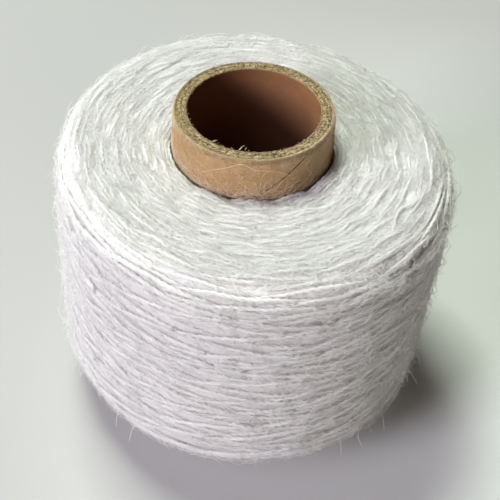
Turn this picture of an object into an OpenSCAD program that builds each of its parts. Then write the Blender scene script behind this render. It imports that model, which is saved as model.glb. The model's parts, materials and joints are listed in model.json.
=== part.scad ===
// Spool of twisted thread, wound on a spiral paper tube that stands proud of the package at both ends.
// The axis is Z, and the origin is the centre of the tube's lower end.

/* [Paper tube] */
// Bore of the tube, which a spindle goes through
tube_bore_d = 25.4; // [16:0.1:40]
// Length of the tube
tube_len = 70; // [58:1:120]
// Thickness of the red-brown paper that lines the bore
liner_t = 0.3; // [0.2:0.05:0.6]
// Thickness of each of the three grey board plies
board_t = 0.75; // [0.55:0.05:1.2]
// Thickness of the tan kraft paper round the outside
wrap_t = 0.25; // [0.2:0.05:0.5]
// How far the outer edge is rolled in at both ends
rim_roll = 0.5; // [0.1:0.05:0.5]
// Height of that rolled edge
rim_roll_h = 1.5; // [0.5:0.1:2.4]

/* [Spiral seam] */
// Height that the seam of the kraft paper climbs in one turn
seam_lead = 78; // [60:1:160]
// Width of the open seam
seam_w = 0.4; // [0.2:0.05:1]
// Depth of the open seam
seam_depth = 0.12; // [0.05:0.01:0.18]
// Direction in which the seam reaches the upper end, from +X towards +Y
seam_top_angle = -46; // [-180:1:180]

/* [Wound thread] */
// Diameter of the thread
thread_d = 1.4; // [0.8:0.1:1.8]
// Diameter over the outer turns
package_d = 78; // [60:1:110]
// Height over the outer turns
package_h = 53; // [35:1:56]
// Radius of the package's shoulders, over the outer turns
shoulder_r = 5; // [4:0.5:9]
// Least clear space between neighbouring outer turns
turn_gap = 1; // [0.5:0.1:4]
// Clear space between the tube and the first turn on the upper face
tube_gap = 0.6; // [0.5:0.1:2]
// Space left round the body of buried turns, under the outer turns and round the tube
lay_gap = 0.05; // [0.02:0.01:0.2]
// Clear space round a thread end where it goes down into the body
tuck_gap = 0.3; // [0.2:0.05:0.5]
// Direction in which the thread ends go down, from +X towards +Y
tuck_angle = 90; // [-180:15:180]

/* [Hidden] */

$fn = 64;
LINER_PAPER = [0.52, 0.34, 0.25];
GREY_BOARD = [0.55, 0.49, 0.37];
KRAFT = [0.76, 0.58, 0.40];
WHITE_THREAD = [0.93, 0.93, 0.92];

// Radii of the tube's plies, from the bore outwards
bore_r = tube_bore_d / 2;
liner_r = bore_r + liner_t;
board_1_r = liner_r + board_t;
board_2_r = board_1_r + board_t;
board_3_r = board_2_r + board_t;
tube_r = board_3_r + wrap_t;
ROLL_STEPS = 3;

// The seam is cut by a thin blade that follows a helix, and every cut runs past the tube's ends
SEAM_SLICES = 40;
BLADE_SIDES = 4;
seam_turn = 360 / seam_lead;
overrun = 1;

// A turn is a chain of straight stretches, so its corners stand further out to clear what they go round
TURN_RINGS = 24;
TURN_SIDES = 6;
standoff = 1 / cos(180 / TURN_RINGS);
thread_r = thread_d / 2;
pitch_limit = thread_d + turn_gap;

// Half section of the outer turns' centreline: out over the upper face, round the shoulder, down the
// side and round the lower shoulder
turn_r = package_d / 2 - thread_r;
bend_r = shoulder_r - thread_r;
package_z0 = (tube_len - package_h) / 2;
package_z1 = package_z0 + package_h;
first_turn_r = (tube_r + tube_gap + thread_r) * standoff;
upper_bend_z = package_z1 - shoulder_r;
lower_bend_z = package_z0 + shoulder_r;
end_run = turn_r - bend_r - first_turn_r;
bend_run = bend_r * PI / 2;
straight_run = upper_bend_z - lower_bend_z;
side_run = bend_run + straight_run + bend_run;

// Whole turns that fit into each run
end_turn_count = floor(end_run / pitch_limit);
side_turn_count = floor(side_run / pitch_limit);

// The body of buried turns lies round the tube and just inside the outer turns, all round its section
body_bore_r = tube_r + lay_gap;
body_r = turn_r / standoff - thread_r - lay_gap;
body_bend_r = bend_r - thread_r - lay_gap;
body_z0 = lower_bend_z - body_bend_r;
body_z1 = upper_bend_z + body_bend_r;

// A thread end bends down into the body and then runs straight for one diameter
TUCK_STEPS = 4;
tuck_bend_r = thread_d;
tuck_depth = tuck_bend_r + thread_d;

// A place on the centreline is [radius, height, slope of its outward normal above the horizon]
function bend_place(slope, centre_z) =
    [turn_r - bend_r + bend_r * cos(slope), centre_z + bend_r * sin(slope), slope];

function end_place(turn) = [first_turn_r + turn / end_turn_count * end_run, package_z1 - thread_r, 90];

function side_place(turn) =
    let (run = turn / side_turn_count * side_run, past_bend = run - bend_run)
    past_bend < 0 ? bend_place(-past_bend / bend_run * 90, upper_bend_z) :
    past_bend < straight_run ? [turn_r, upper_bend_z - past_bend, 0] :
    bend_place((straight_run - past_bend) / bend_run * 90, lower_bend_z);

// A ring of the thread is [centre, outward normal, third axis], and a turn starts at the tuck angle
function ring_at(place, turn) =
    let (a = turn * 360 + tuck_angle, slope = place[2])
    [[place[0] * cos(a), place[0] * sin(a), place[1]],
     [cos(slope) * cos(a), cos(slope) * sin(a), sin(slope)],
     [-sin(slope) * cos(a), -sin(slope) * sin(a), cos(slope)]];

// Rings that leave a ring forwards (1) or backwards (-1) along the turn and go down into the body
function tuck_rings(ring, heading) =
    let (out = ring[1], along = heading * cross(ring[2], out))
    [for (i = [1:TUCK_STEPS + 1])
        let (a = min(i, TUCK_STEPS) / TUCK_STEPS * 90, straight = i > TUCK_STEPS ? thread_d : 0)
        [ring[0] + along * tuck_bend_r * sin(a) - out * (tuck_bend_r * (1 - cos(a)) + straight),
         out * cos(a) + along * sin(a),
         ring[2]]];

function reversed(list) = [for (i = [len(list) - 1:-1:0]) list[i]];

// A run of turns with both thread ends tucked in
function tucked(rings) =
    concat(reversed(tuck_rings(rings[0], -1)), rings, tuck_rings(rings[len(rings) - 1], 1));

// The run on the upper face stops one ring short, to leave room for the next run's thread end
end_rings = [for (i = [0:end_turn_count * TURN_RINGS - 1])
    ring_at(end_place(i / TURN_RINGS), i / TURN_RINGS)];
side_rings = [for (i = [0:side_turn_count * TURN_RINGS])
    ring_at(side_place(i / TURN_RINGS), i / TURN_RINGS)];

function ring_points(ring) =
    [for (k = [0:TURN_SIDES - 1])
        let (a = k * 360 / TURN_SIDES) ring[0] + thread_r * (ring[1] * cos(a) + ring[2] * sin(a))];

// Least clear space between a turn and the next one, over all the ring centres
function least_gap(rings) =
    min([for (i = [0:len(rings) - TURN_RINGS / 2 - 1])
         for (j = [i + TURN_RINGS / 2:min(i + TURN_RINGS * 3 / 2, len(rings) - 1)])
            norm(rings[i][0] - rings[j][0])]) - thread_d;

// One closed tube of triangles through a list of rings
module thread_tube(rings) {
    n = TURN_SIDES;
    last = (len(rings) - 1) * n;
    points = [for (ring = rings) each ring_points(ring)];
    walls = [for (i = [0:len(rings) - 2]) for (k = [0:n - 1])
        let (a = i * n + k, b = i * n + (k + 1) % n) each [[a, b, a + n], [b, b + n, a + n]]];
    caps = [for (k = [1:n - 2]) each [[0, k + 1, k], [last, last + k, last + k + 1]]];
    polyhedron(points = points, faces = concat(walls, caps), convexity = 10);
}

// Straight ply of the tube, between two radii
module ply(inner_r, outer_r) {
    difference() {
        cylinder(r = outer_r, h = tube_len);
        translate([0, 0, -overrun]) cylinder(r = inner_r, h = tube_len + 2 * overrun);
    }
}

// Outline of the tube's rolled lower end, from its full radius r down to the floor
function rolled_end(r) =
    [for (i = [0:ROLL_STEPS])
        let (a = i * 90 / ROLL_STEPS) [r - rim_roll * (1 - cos(a)), rim_roll_h * (1 - sin(a))]];

// Outline of the tube's whole outer side, from the lower end to the upper one
function rolled_side(r) =
    concat(reversed(rolled_end(r)), [for (p = rolled_end(r)) [p[0], tube_len - p[1]]]);

module inner_liner() {
    color(LINER_PAPER) ply(bore_r, liner_r);
}

module board_ply_1() {
    color(GREY_BOARD) ply(liner_r, board_1_r);
}

module board_ply_2() {
    color(GREY_BOARD) ply(board_1_r, board_2_r);
}

module board_ply_3() {
    color(GREY_BOARD)
    rotate_extrude() polygon(concat([[board_2_r, tube_len], [board_2_r, 0]], rolled_side(board_3_r)));
}

// Kraft paper that follows the rolled ends, with its open spiral seam
module outer_wrap() {
    color(KRAFT)
    difference() {
        rotate_extrude() polygon(concat(rolled_side(tube_r), reversed(rolled_side(board_3_r))));
        rotate(seam_top_angle - seam_turn * (tube_len + overrun))
        translate([0, 0, -overrun])
        linear_extrude(height = tube_len + 2 * overrun, slices = SEAM_SLICES, segments = BLADE_SIDES,
                       twist = -seam_turn * (tube_len + 2 * overrun))
        translate([tube_r - seam_depth, -seam_w / 2])
        square([seam_depth + overrun, seam_w]);
    }
}

// Pocket in the body for a thread end that leaves the given place forwards (1) or backwards (-1)
module tuck_pocket(place, turn, heading) {
    rotate(turn * 360 + tuck_angle)
    translate([place[0], 0, place[1]])
    rotate([0, -place[2], 0])
    translate([-tuck_depth - lay_gap, heading * tuck_bend_r, 0])
    rotate([0, 90, 0])
    cylinder(d = thread_d + 2 * tuck_gap, h = tuck_depth + thread_d);
}

// The buried turns, as one plain body with rounded shoulders
module wound_body() {
    end_stop = end_turn_count - 1 / TURN_RINGS;
    color(WHITE_THREAD)
    difference() {
        rotate_extrude() {
            translate([body_bore_r, lower_bend_z])
                square([body_r - body_bore_r, upper_bend_z - lower_bend_z]);
            translate([body_bore_r, body_z0])
                square([body_r - body_bend_r - body_bore_r, body_z1 - body_z0]);
            for (z = [lower_bend_z, upper_bend_z])
                translate([body_r - body_bend_r, z]) circle(r = body_bend_r, $fn = 32);
        }
        tuck_pocket(end_place(0), 0, -1);
        tuck_pocket(end_place(end_stop), end_stop, 1);
        tuck_pocket(side_place(0), 0, -1);
        tuck_pocket(side_place(side_turn_count), side_turn_count, 1);
    }
}

// The thread as it shows on the upper face, spiralling out from the tube
module end_turns() {
    rings = tucked(end_rings);
    echo(str("end_turns: ", end_turn_count, " turns, least gap ", least_gap(rings), " mm"));
    color(WHITE_THREAD) thread_tube(rings);
}

// The thread as it shows round the shoulders and down the side
module side_turns() {
    rings = tucked(side_rings);
    echo(str("side_turns: ", side_turn_count, " turns, least gap ", least_gap(rings), " mm"));
    color(WHITE_THREAD) thread_tube(rings);
}

inner_liner();
board_ply_1();
board_ply_2();
board_ply_3();
outer_wrap();
wound_body();
end_turns();
side_turns();
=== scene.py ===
import functools
import json
import math
from types import SimpleNamespace

import bpy
import numpy as np
from bpy.props import FloatProperty, FloatVectorProperty, IntProperty, PointerProperty
from bpy.types import Operator, Panel, PropertyGroup
from mathutils import Matrix, Vector


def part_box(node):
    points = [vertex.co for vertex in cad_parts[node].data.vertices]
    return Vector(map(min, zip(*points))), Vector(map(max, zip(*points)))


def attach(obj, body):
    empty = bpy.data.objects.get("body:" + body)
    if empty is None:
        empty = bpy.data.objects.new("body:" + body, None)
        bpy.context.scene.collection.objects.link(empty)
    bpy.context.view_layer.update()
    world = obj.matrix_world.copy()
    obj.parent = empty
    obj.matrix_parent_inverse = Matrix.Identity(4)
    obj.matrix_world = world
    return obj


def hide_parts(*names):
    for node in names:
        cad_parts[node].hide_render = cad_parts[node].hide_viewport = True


bl_info = {
    "name": "Thread Spool",
    "version": (1, 0, 0),
    "blender": (4, 5, 0),
    "location": "3D View > Sidebar > Thread Spool",
    "description": "A cross-wound package of fuzzy thread on its paper tube, and its stage",
    "category": "Add Mesh",
}

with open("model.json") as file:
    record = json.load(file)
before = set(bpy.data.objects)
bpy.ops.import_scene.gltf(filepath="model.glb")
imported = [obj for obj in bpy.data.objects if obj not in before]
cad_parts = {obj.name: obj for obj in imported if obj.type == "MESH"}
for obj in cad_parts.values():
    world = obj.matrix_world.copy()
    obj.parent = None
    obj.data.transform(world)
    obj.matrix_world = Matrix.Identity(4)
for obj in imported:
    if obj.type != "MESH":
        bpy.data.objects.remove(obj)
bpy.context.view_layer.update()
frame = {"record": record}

MM = 0.001
TAU = 2 * math.pi
BORE_R = frame["record"]["mounts"][0]["dims"]["r_mm"] * MM
LINER_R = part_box("inner_liner")[1].x
BOARD_RADII = [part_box(f"board_ply_{i}")[1].x for i in (1, 2, 3)]
TUBE_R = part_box("outer_wrap")[1].x
TUBE_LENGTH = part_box("outer_wrap")[1].z


# Sizes and colours

def length_setting(name, description, default, precision=4):
    return FloatProperty(name=name, description=description, default=default, unit="LENGTH",
                         precision=precision)


def colour_setting(name, description, default):
    return FloatVectorProperty(name=name, description=description, default=default,
                               subtype="COLOR", min=0, max=1)


def light_setting(name, description, default):
    return FloatProperty(name=name, description=description, default=default, min=0)


def count_setting(name, description, default, least):
    return IntProperty(name=name, description=description, default=default, min=least)


class TubeSettings(PropertyGroup):
    rim_roll: length_setting(
        "Rim roll", "How far the outer edge is rolled in at both ends", 0.5 * MM)
    rim_roll_height: length_setting("Rim roll height", "Height of the rolled edge", 1.5 * MM)
    rim_roughness: length_setting(
        "Rim roughness", "Depth of the torn fibres on the cut ends", 0.16 * MM, 5)
    seam_lead: length_setting("Seam lead", "Height that the seam climbs in one turn", 78 * MM)
    seam_angle: FloatProperty(
        name="Seam angle", description="Where the seam reaches the upper end",
        default=math.radians(-46), subtype="ANGLE")
    kraft_colour: colour_setting(
        "Kraft paper", "Colour of the paper round the outside", (0.505, 0.325, 0.155))
    liner_colour: colour_setting(
        "Liner paper", "Colour of the paper in the bore", (0.33, 0.163, 0.07))
    board_colour: colour_setting(
        "Board", "Middle colour of the cut board", (0.35, 0.265, 0.135))
    fleck_colour: colour_setting(
        "Pale flecks", "Colour of the torn fibres in the cut board", (0.62, 0.52, 0.34))
    fibre_colour: colour_setting(
        "Fibres over paper", "Colour of the fine fibres that lie over the kraft paper",
        (0.92, 0.76, 0.55))


class ThreadSettings(PropertyGroup):
    diameter: length_setting("Thread diameter", "Width of the thread as it lies", 1.4 * MM)
    firm_share: FloatProperty(
        name="Firm share",
        description="Width of the firm yarn as a share of the thread with its fluff",
        default=0.56, min=0.2, max=1, subtype="FACTOR")
    package_radius: length_setting("Package radius", "Radius over the outer turns", 39.2 * MM)
    low: length_setting("Lower face", "Height of the package's lower face", 9.3 * MM)
    high: length_setting("Upper face", "Height of the package's upper face", 61.6 * MM)
    shoulder: length_setting("Shoulder", "Radius of the package's rounded shoulders", 5.4 * MM)
    turns_per_stroke: FloatProperty(
        name="Turns per stroke",
        description="Turns laid while the guide travels once along the tube",
        default=1.309, min=1, max=20, precision=3)
    plies: IntProperty(
        name="Plies", description="Yarns twisted together in the thread", default=2, min=2, max=4)
    twist: length_setting("Twist", "Length of one full turn of the plies", 3.0 * MM)
    colour: colour_setting("Thread", "Colour of the thread", (0.945, 0.95, 0.93))


class FuzzSettings(PropertyGroup):
    side_hairs: count_setting("Side hairs", "Long loose fibres round the side", 7400, 2)
    side_fuzz: count_setting("Side fuzz", "Short loose fibres round the side", 42000, 3)
    face_hairs: count_setting("Face hairs", "Long loose fibres on the upper face", 2600, 2)
    face_fuzz: count_setting("Face fuzz", "Short loose fibres on the upper face", 25000, 2)
    crest_share: FloatProperty(
        name="Crest fibres", description="Share of the outer turns with a fibre along their crest",
        default=0.4, min=0, max=1, subtype="FACTOR")
    crest_radius: length_setting(
        "Crest radius", "Half the thickness of a fibre along a crest", 0.05 * MM, 6)
    hair_radius: length_setting(
        "Hair radius", "Half the thickness of a long fibre", 0.036 * MM, 6)


class StageSettings(PropertyGroup):
    floor_colour: colour_setting(
        "Floor", "Colour of the floor on the lit side", (0.51, 0.51, 0.515))
    # Painted light: a paler floor colour on the side away from the lamps, standing in for light
    # that falls there.
    painted_light_floor_colour: colour_setting(
        "Pale floor", "Colour of the floor on the side away from the light", (0.74, 0.77, 0.76))
    key_power: light_setting("Key light", "Power of the low light on the left, in watts", 8.0)
    high_key_power: light_setting(
        "High key light", "Power of the light above the key light, in watts", 1.5)
    overhead_power: light_setting("Overhead light", "Power of the light above, in watts", 9.4)
    fill_power: light_setting(
        "Fill light", "Power of the weak warm light at the front, in watts", 0.85)
    room_light: light_setting("Room light", "Strength of the light from all round", 0.006)


# Random numbers and fields

def draws(seed):
    """A seeded source of random numbers, so that each build is the same."""
    return np.random.default_rng(seed)


def spread(values):
    """Values shifted and scaled to a mean of 0 and a spread of 1."""
    return (values - values.mean()) / (values.std() + 1e-9)


def wrapped_noise(rng, shape, blur):
    """Smooth random field that wraps round along both axes."""
    spectrum = np.fft.fft2(rng.normal(size=shape))
    fr = np.fft.fftfreq(shape[0])[:, None] * blur[0]
    fc = np.fft.fftfreq(shape[1])[None, :] * blur[1]
    return spread(np.fft.ifft2(spectrum * np.exp(-2 * math.pi ** 2 * (fr ** 2 + fc ** 2))).real)


def smoothed(values, cells):
    """Gaussian blur of a list, with its ends held."""
    reach = int(3 * cells) + 1
    weights = np.exp(-0.5 * (np.arange(-reach, reach + 1) / cells) ** 2)
    padded = np.concatenate([np.repeat(values[:1], reach), values, np.repeat(values[-1:], reach)])
    return np.convolve(padded, weights / weights.sum(), mode="valid")


def blurred_rows(field, cells):
    """Gaussian blur of every row of a field."""
    reach = int(2.5 * cells)
    weights = np.exp(-0.5 * (np.arange(-reach, reach + 1) / cells) ** 2)
    weights /= weights.sum()
    padded = np.pad(field, ((0, 0), (reach, reach)), mode="edge")
    return sum(w * padded[:, k:k + field.shape[1]] for k, w in enumerate(weights))


def blurred_all_round(field, cells):
    """Blur of a field along its rows and round the axis."""
    reach = int(cells)
    turned = sum(np.roll(field, k, axis=0) for k in range(-reach, reach + 1)) / (2 * reach + 1)
    return blurred_rows(turned, cells)


def unit(vectors):
    return vectors / (np.linalg.norm(vectors, axis=-1, keepdims=True) + 1e-12)


# Meshes from arrays

def mesh_object(name, points, *faces, maps=None):
    """A smooth mesh object from points and arrays of faces. Maps hold a coordinate a corner."""
    mesh = bpy.data.meshes.new(name)
    mesh.vertices.add(len(points))
    mesh.vertices.foreach_set("co", np.asarray(points, np.float32).ravel())
    corners = np.concatenate([f.ravel() for f in faces])
    sizes = np.concatenate([np.full(len(f), f.shape[1]) for f in faces])
    mesh.loops.add(len(corners))
    mesh.loops.foreach_set("vertex_index", corners.astype(np.int32))
    mesh.polygons.add(len(sizes))
    starts = np.concatenate([[0], np.cumsum(sizes)[:-1]])
    mesh.polygons.foreach_set("loop_start", starts.astype(np.int32))
    mesh.polygons.foreach_set("use_smooth", np.ones(len(sizes), bool))
    for map_name, places in (maps or {}).items():
        layer = mesh.uv_layers.new(name=map_name, do_init=False)
        layer.uv.foreach_set("vector", np.asarray(places, np.float32).ravel())
    mesh.update(calc_edges=True)
    if mesh.validate():
        raise RuntimeError(f"{name}: the mesh had faults")
    piece = bpy.data.objects.new(name, mesh)
    bpy.context.scene.collection.objects.link(piece)
    return piece


def finished(piece, material, slot, *nodes):
    """Gives a piece its material, sets it on the part and hides the CAD nodes that it stands for.
    """
    piece.data.materials.append(material)
    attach(piece, "root")
    if nodes:
        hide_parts(*nodes)
    return piece


def tubes(name, bundles):
    """One mesh of closed tubes. A bundle holds strands of one length, with points, out and side
    vectors, a section and a count of twists at each point."""
    sides = bundles[0].section.shape[2]
    ring_points, quads, along, twists, firsts, lasts = [], [], [], [], [], []
    base, run = 0, 0.0
    k = np.arange(sides)
    k1 = (k + 1) % sides
    for bundle in bundles:
        count, n = bundle.points.shape[:2]
        ring_points.append((bundle.points[:, :, None, :]
                            + bundle.section[..., 0:1] * bundle.out[:, :, None, :]
                            + bundle.section[..., 1:2] * bundle.side[:, :, None, :]).reshape(-1, 3))
        start = base + np.arange(count) * n * sides
        ring = start[:, None, None] + (np.arange(n - 1) * sides)[None, :, None]
        quads.append(np.stack([ring + k, ring + k1, ring + sides + k1, ring + sides + k],
                              -1).reshape(-1, 4))
        steps = np.linalg.norm(np.diff(bundle.points, axis=1), axis=2)
        length = np.concatenate([np.zeros((count, 1)), np.cumsum(steps, axis=1)], axis=1)
        begun = run + np.concatenate([[0], np.cumsum(length[:, -1] + bundle.girth)])
        length += begun[:-1, None]
        along.append(np.stack([length[:, :-1], length[:, 1:]], -1).reshape(-1, 2))
        twists.append(np.stack([bundle.twists[:, :-1], bundle.twists[:, 1:]], -1).reshape(-1, 2))
        run = begun[-1]
        firsts.append(start)
        lasts.append(start + (n - 1) * sides)
        base += count * n * sides
    walls = np.concatenate(quads)
    firsts, lasts = np.concatenate(firsts), np.concatenate(lasts)
    if sides == 3:
        caps = np.concatenate([firsts[:, None] + [2, 1, 0], lasts[:, None] + [0, 1, 2]])
    else:
        j = np.arange(sides // 2 - 1)
        fan = np.stack([j, j + 1, sides - 2 - j, sides - 1 - j], -1)
        caps = np.concatenate([(firsts[:, None, None] + fan[:, ::-1]).reshape(-1, 4),
                               (lasts[:, None, None] + fan).reshape(-1, 4)])
    spans = np.repeat(np.concatenate(along), sides, axis=0)
    around = np.tile(np.arange(sides), len(walls) // sides)
    lengthwise = np.stack([spans[:, 0], spans[:, 0], spans[:, 1], spans[:, 1]], -1)
    crosswise = np.stack([around, around + 1, around + 1, around], -1) / sides
    row_length = math.sqrt(run * bundles[0].girth)
    rows = math.ceil(run / row_length) + 1
    row = np.floor(spans[:, 0] / row_length)[:, None]
    longest = (spans[:, 1] - spans[:, 0]).max()
    strip = np.stack([(lengthwise - row * row_length) / (row_length + longest),
                      (row + 0.06 + 0.88 * crosswise) / (rows + 1)], -1).reshape(-1, 2)
    spare = np.tile([[0, 1], [0.001, 1], [0.001, 0.9995], [0, 0.9995]][:caps.shape[1]],
                    (len(caps), 1))
    twisted = np.repeat(np.concatenate(twists), sides, axis=0)[:, [0, 0, 1, 1]]
    yarn = np.stack([twisted, crosswise], -1).reshape(-1, 2)
    maps = {"Yarn": np.concatenate([yarn, np.zeros((caps.size, 2))]),
            "OFBake": np.concatenate([strip, spare])}
    return mesh_object(name, np.concatenate(ring_points), walls, caps, maps=maps)


def numbered(name, shares, material, slot):
    """Finished pieces of tubes with one name and a number each."""
    for i, bundles in enumerate(shares):
        finished(tubes(f"{name}_{i + 1}", bundles), material, slot)


def ring_solid(name, grid, maps=None):
    """A closed ring from points in rows round its section and columns round the axis."""
    rows, columns = grid.shape[:2]
    i, j = np.meshgrid(np.arange(rows), np.arange(columns), indexing="ij")
    i1, j1 = (i + 1) % rows, (j + 1) % columns
    faces = np.stack([i * columns + j, i * columns + j1, i1 * columns + j1, i1 * columns + j],
                     -1).reshape(-1, 4)
    return mesh_object(name, grid.reshape(-1, 3), faces, maps=maps)


def around_axis(r, angle, z):
    return np.stack([r * np.cos(angle), r * np.sin(angle), np.broadcast_to(z, r.shape)], -1)


def outward(angle):
    """Unit vectors away from the axis."""
    return np.stack([np.cos(angle), np.sin(angle), np.zeros(angle.shape)], -1)


# The winding: one thread laid turn by turn over what already lies on the tube. It counts in
# millimetres, in turns and in samples, which are 1 degree of a turn.

ANGLES = 360               # samples in a turn
ROW = 0.2                  # height of one row of the wound surface
MARGIN = 3                 # rows kept free beyond each face, as a height
UNSEEN = -1e3              # height where no thread lies
MOST_TURNS = 2400
HALF_THICK = 0.34          # half the pressed thread's thickness, as a share of its diameter
CARRIED = 18               # samples of the turn before that steady a new turn
GUIDE_SHARPNESS = 0.997    # at 1 the guide would turn back without slowing
STROKE_SCATTER = 0.006     # scatter of a stroke's time
INSET_SCATTER = 0.2        # scatter of the height at which the guide turns back
EARLY_INSET = 0.5          # how far below the shoulder the guide begins to turn back early
WANDER = 0.2               # how far the thread strays from the guide
WANDER_PLACES = 24         # places in a turn at which the straying changes
END_EASE = 2.5             # height over which straying and slipping die away at a face
SLIP = 0.6                 # how far the thread slides down a slope of 1
SLIP_SAMPLES = 3.0
CONFORMS = 0.42            # how far the thread gives in to what lies under it
MOST_RISE = 0.4            # how far a turn may stand over the mean surface before it is pressed
PRESSED = 0.25             # share of that excess that is left
SLACK = 2.5                # samples over which the taut thread spans a dip
DIP = 0.14                 # depth to which a taut thread is pressed over a bump
LEVEL_MARGIN = 16          # distance from both faces at which the package's radius is measured
FULL = 0.45                # how far the mean surface stays under the full radius
STRAND_SPREAD = 1.25       # width of a strand seen from a face, as a share of its thickness
PLY_RELIEF = 0.27          # depth of the groove between the plies, as a share of the radius
FLATTENED = 0.4            # half the firm yarn's thickness, as a share of its width


def stroke_share(u):
    """How far the guide has come, from 0 to 1, after a share of its stroke's time."""
    return 0.5 + 0.5 * (np.arcsin(GUIDE_SHARPNESS * np.sin(math.pi * (u - 0.5)))
                        / math.asin(GUIDE_SHARPNESS))


def bed(z, floor_z, half_width):
    """Rows of the surface under a strand, their offsets from its middle, and which lie under it."""
    reach = int(half_width / ROW) + 1
    rows = np.round((z - floor_z) / ROW).astype(int)[:, None] + np.arange(-reach, reach + 1)
    offset = rows * ROW + floor_z - z[:, None]
    return rows, offset, np.abs(offset) < half_width


@functools.cache
def winding(diameter, radius, low, high, shoulder, turns_per_stroke, tube_radius):
    """Winds the package and returns the whole thread and the surface that it ends with."""
    rng = draws(11)
    half_width, half_thick = diameter / 2, diameter * HALF_THICK
    floor_z = low - MARGIN
    surface = np.full((ANGLES, int((high - low + 2 * MARGIN) / ROW)), tube_radius)
    ends = [low + half_width, high - half_width]
    wander = smoothed(rng.normal(size=MOST_TURNS * WANDER_PLACES + 1), 1.3) * WANDER
    wander = np.interp(np.arange(MOST_TURNS * ANGLES) * WANDER_PLACES / ANGLES,
                       np.arange(len(wander)), wander)
    strokes = [(-1.0, turns_per_stroke - 1.0, ends[0], ends[1])]
    heights, radii = [], []
    earlier, slipped = np.full(CARRIED, tube_radius + half_thick), np.zeros(CARRIED)
    middle = slice(int((low + LEVEL_MARGIN - floor_z) / ROW),
                   int((high - LEVEL_MARGIN - floor_z) / ROW))
    level = tube_radius
    cells = np.arange(ANGLES + CARRIED)
    angle = cells % ANGLES
    for turn in range(MOST_TURNS):
        while strokes[-1][1] < turn + 2:
            _, begun, _, z_from = strokes[-1]
            upward = z_from < (low + high) / 2
            past = max(0.0, level - (radius - shoulder) + EARLY_INSET)
            inset = shoulder - math.sqrt(max(0.0, shoulder ** 2 - min(past, shoulder * 0.93) ** 2))
            inset += abs(rng.normal(0, INSET_SCATTER))
            z_to = ends[1] - inset if upward else ends[0] + inset
            time = turns_per_stroke + rng.normal(0, STROKE_SCATTER)
            strokes.append((begun, begun + time, z_from, z_to))
        t = turn + cells / ANGLES
        table = np.array(strokes[-8:])
        which = np.clip(np.searchsorted(table[:, 0], t, side="right") - 1, 0, len(table) - 1)
        chosen = table[which]
        share = stroke_share((t - chosen[:, 0]) / (chosen[:, 1] - chosen[:, 0]))
        z = chosen[:, 2] + (chosen[:, 3] - chosen[:, 2]) * share
        edge = np.clip(np.minimum(z - ends[0], ends[1] - z) / END_EASE, 0.25, 1)
        z = z + wander[turn * ANGLES + cells] * edge
        rows, offset, inside = bed(z, floor_z, half_width)
        tilt = (surface[angle[:, None], rows] * offset).sum(1) / (offset ** 2).sum(1)
        slip = smoothed(np.concatenate([slipped, -SLIP * np.clip(tilt, -1, 1) * edge]),
                        SLIP_SAMPLES)[CARRIED:]
        z = z + slip
        slipped = slip[ANGLES - CARRIED:ANGLES]
        rows, offset, inside = bed(z, floor_z, half_width)
        under = np.sqrt(np.clip(1 - (offset / half_width) ** 2, 0, None)) * half_thick
        resting = np.where(inside, surface[angle[:, None], rows] + under, -1)
        top = resting.max(1)
        mean = np.where(inside, resting, 0).sum(1) / inside.sum(1)
        r = top - CONFORMS * (top - mean)
        beyond = np.clip(np.maximum(z - (high - shoulder), low + shoulder - z), 0, shoulder * 0.98)
        envelope = radius - shoulder + np.sqrt(shoulder ** 2 - beyond ** 2) - half_thick
        limit = np.minimum(level + MOST_RISE, envelope)
        r = np.where(r > limit, limit + PRESSED * (r - limit), r)
        chain = np.concatenate([earlier, r])
        taut = smoothed(chain, SLACK)
        taut = smoothed(np.maximum(taut, chain - DIP), 1.5)[CARRIED:CARRIED + ANGLES]
        laid = np.where(inside[:ANGLES], taut[:, None] + under[:ANGLES], 0)
        where = (angle[:ANGLES, None], rows[:ANGLES])
        surface[where] = np.maximum(surface[where], laid)
        earlier = taut[-CARRIED:]
        heights.append(z[:ANGLES])
        radii.append(taut)
        level = surface[:, middle].mean()
        if level > radius - FULL:
            break
    return SimpleNamespace(z=np.array(heights), r=np.array(radii), surface=surface,
                           floor_z=floor_z, half_width=half_width, half_thick=half_thick)


def face_heights(wound, sign, radius):
    """Outermost height of the thread by angle and radius, on the face that sign names."""
    columns = int((radius + 4) / ROW)
    field = np.full((ANGLES, columns), UNSEEN)
    angle = np.broadcast_to(np.arange(ANGLES), wound.z.shape)
    width = wound.half_thick * STRAND_SPREAD
    reach = int(width / ROW) + 1
    for step in range(-reach, reach + 1):
        column = np.round(wound.r / ROW).astype(int) + step
        offset = column * ROW - wound.r
        inside = np.abs(offset) < width
        arch = np.sqrt(np.clip(1 - (offset / width) ** 2, 0, None))
        top = sign * wound.z + wound.half_width * arch
        np.maximum.at(field, (angle[inside], column[inside]), top[inside])
    return field


def outermost(field, along, across, width, thick):
    """Which samples of the thread are the outermost thing somewhere under their own width."""
    seen = np.zeros(along.shape, bool)
    base = np.round(along / ROW).astype(int)
    angle = np.broadcast_to(np.arange(ANGLES), along.shape)
    reach = int(width / ROW) + 1
    for step in range(-reach, reach + 1):
        offset = (base + step) * ROW - along
        top = across + thick * np.sqrt(np.clip(1 - (offset / width) ** 2, 0, None))
        seen |= (np.abs(offset) < width * 0.9) & (top >= field[angle, base + step] - 0.1)
    return seen


def filled_rows(field):
    """A face's height field with its bore and rim filled from the nearest thread."""
    columns = np.arange(field.shape[1])
    return np.array([np.interp(columns, columns[row > UNSEEN / 2], row[row > UNSEEN / 2])
                     for row in field])


def looked_up(field, angle, column):
    """Bilinear look-up of a field that wraps round along its first axis."""
    a = np.asarray(angle) / TAU * ANGLES
    c = np.clip(column, 0, field.shape[1] - 1.001)
    a0, c0 = np.floor(a).astype(int), np.floor(c).astype(int)
    fa, fc = a - a0, c - c0
    a1, a0 = (a0 + 1) % ANGLES, a0 % ANGLES
    return ((field[a0, c0] * (1 - fc) + field[a0, c0 + 1] * fc) * (1 - fa)
            + (field[a1, c0] * (1 - fc) + field[a1, c0 + 1] * fc) * fa)


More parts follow.
